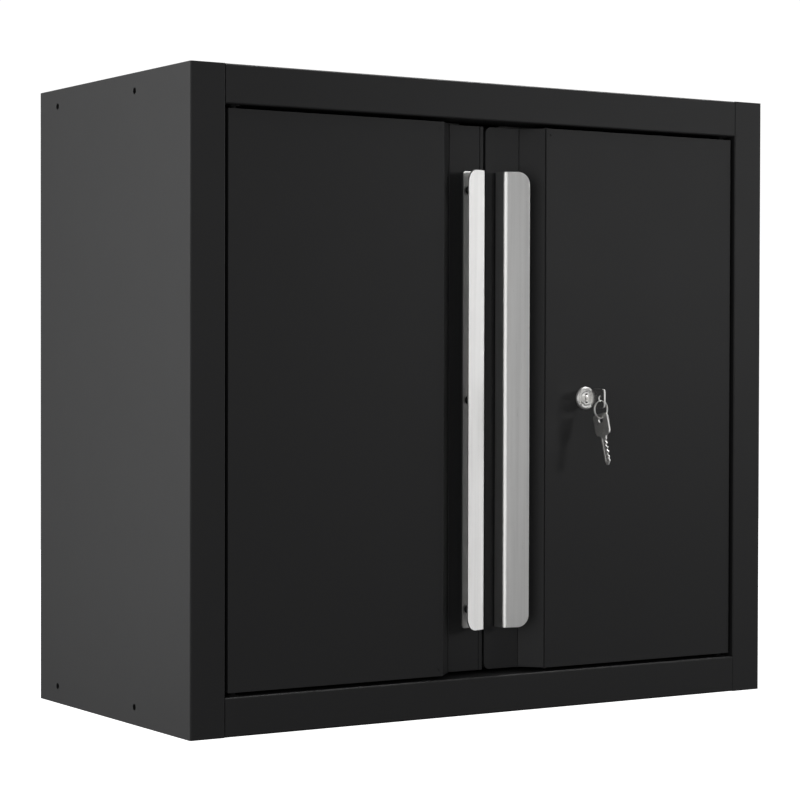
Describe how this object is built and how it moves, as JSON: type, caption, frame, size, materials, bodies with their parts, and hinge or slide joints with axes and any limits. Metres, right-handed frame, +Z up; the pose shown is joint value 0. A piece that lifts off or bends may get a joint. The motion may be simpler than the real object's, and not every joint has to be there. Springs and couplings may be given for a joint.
{
  "type": "hanging wall cabinet",
  "caption": "Black sheet-steel wall cabinet with two hinged doors, long bent handles in a recessed centre bay, a rod lock with keys, and a shelf.",
  "frame": {"origin": "centre of the back face, on the wall plane", "axes": "+X to the viewer's right, +Y into the wall, +Z up; the doors face -Y"},
  "size_m": [0.66, 0.3629, 0.604],
  "materials": {
    "cabinet_steel": "black semi-gloss powder coat",
    "handle_steel": "brushed stainless steel, lengthwise grain",
    "handle_screw": "black zinc",
    "lock_nickel": "bright nickel plate",
    "zinc_hardware": "zinc plate",
    "nylon": "natural nylon",
    "catch_plastic": "black moulded plastic",
    "magnet": "dull pole plate"
  },
  "bodies": {
    "carcass": {"side_panel_left": "cabinet_steel", "side_panel_right": "cabinet_steel", "top_panel": "cabinet_steel", "bottom_panel": "cabinet_steel", "back_panel": "cabinet_steel", "hanging_rail_upper": "zinc_hardware", "hanging_rail_lower": "zinc_hardware", "shelf_upright_left_front": "cabinet_steel", "shelf_upright_left_rear": "cabinet_steel", "shelf_upright_right_front": "cabinet_steel", "shelf_upright_right_rear": "cabinet_steel", "shelf_clip_left_front": "zinc_hardware", "shelf_clip_left_rear": "zinc_hardware", "shelf_clip_right_front": "zinc_hardware", "shelf_clip_right_rear": "zinc_hardware", "hinge_bushing_left_top": "nylon", "hinge_bushing_left_bottom": "nylon", "hinge_bushing_right_top": "nylon", "hinge_bushing_right_bottom": "nylon", "catch_body_left": "catch_plastic", "catch_body_right": "catch_plastic", "catch_magnet_left": "magnet", "catch_magnet_right": "magnet"},
    "shelf": {"shelf": "cabinet_steel"},
    "door_left": {"door_left_skin": "cabinet_steel", "door_left_liner": "cabinet_steel", "handle_left": "handle_steel", "handle_left_screw_1": "handle_screw", "handle_left_screw_2": "handle_screw", "handle_left_screw_3": "handle_screw", "hinge_pin_left_top": "zinc_hardware", "hinge_pin_left_bottom": "zinc_hardware"},
    "door_right": {"door_right_skin": "cabinet_steel", "door_right_liner": "cabinet_steel", "handle_right": "handle_steel", "handle_right_screw_1": "handle_screw", "handle_right_screw_2": "handle_screw", "handle_right_screw_3": "handle_screw", "hinge_pin_right_top": "zinc_hardware", "hinge_pin_right_bottom": "zinc_hardware", "lock_housing": "lock_nickel", "lock_nut": "zinc_hardware", "rod_guide_upper": "zinc_hardware", "rod_guide_lower": "zinc_hardware"},
    "lock_core": {"lock_plug": "lock_nickel", "lock_cam": "zinc_hardware", "cam_screw": "zinc_hardware"},
    "rod_upper": {"rod_upper": "zinc_hardware"},
    "rod_lower": {"rod_lower": "zinc_hardware"},
    "key": {"key": "lock_nickel"},
    "key_ring": {"key_ring": "lock_nickel"},
    "spare_key": {"spare_key": "lock_nickel"}
  },
  "joints": [
    {"name": "door_left_hinge", "type": "hinge", "parent": "carcass", "child": "door_left", "pos_m": [-0.283, -0.316, 0], "axis": [0, 0, -1], "range_deg": [0, 110]},
    {"name": "door_right_hinge", "type": "hinge", "parent": "carcass", "child": "door_right", "pos_m": [0.283, -0.316, 0], "axis": [0, 0, 1], "range_deg": [0, 110]},
    {"name": "shelf_lift", "type": "slide", "parent": "carcass", "child": "shelf", "axis": [0, 0, 1], "range_m": [0, 0.06]},
    {"name": "lock_turn", "type": "hinge", "parent": "door_right", "child": "lock_core", "pos_m": [0.1065, -0.325, 0], "axis": [0, -1, 0], "range_deg": [0, 90]},
    {"name": "rod_upper_slide", "type": "slide", "parent": "door_right", "child": "rod_upper", "axis": [0, 0, 1], "range_m": [0, 0.0142]},
    {"name": "rod_lower_slide", "type": "slide", "parent": "door_right", "child": "rod_lower", "axis": [0, 0, -1], "range_m": [0, 0.0142]},
    {"name": "key_pull", "type": "slide", "parent": "lock_core", "child": "key", "axis": [0, -1, 0], "range_m": [0, 0.022]},
    {"name": "key_ring_swing", "type": "hinge", "parent": "key", "child": "key_ring", "pos_m": [0.1065, -0.3495, -0.0018], "axis": [-0.9903, -0.1392, 0], "range_deg": [-12, 60]},
    {"name": "spare_key_swing", "type": "hinge", "parent": "key_ring", "child": "spare_key", "pos_m": [0.1065, -0.3495, -0.0192], "axis": [-0.9903, -0.1392, 0], "range_deg": [-22, 22]}
  ],
  "couplings": [
    {"joint": "rod_upper_slide", "follows": "lock_turn", "m_per_rad": 0.009},
    {"joint": "rod_lower_slide", "follows": "lock_turn", "m_per_rad": 0.009}
  ]
}
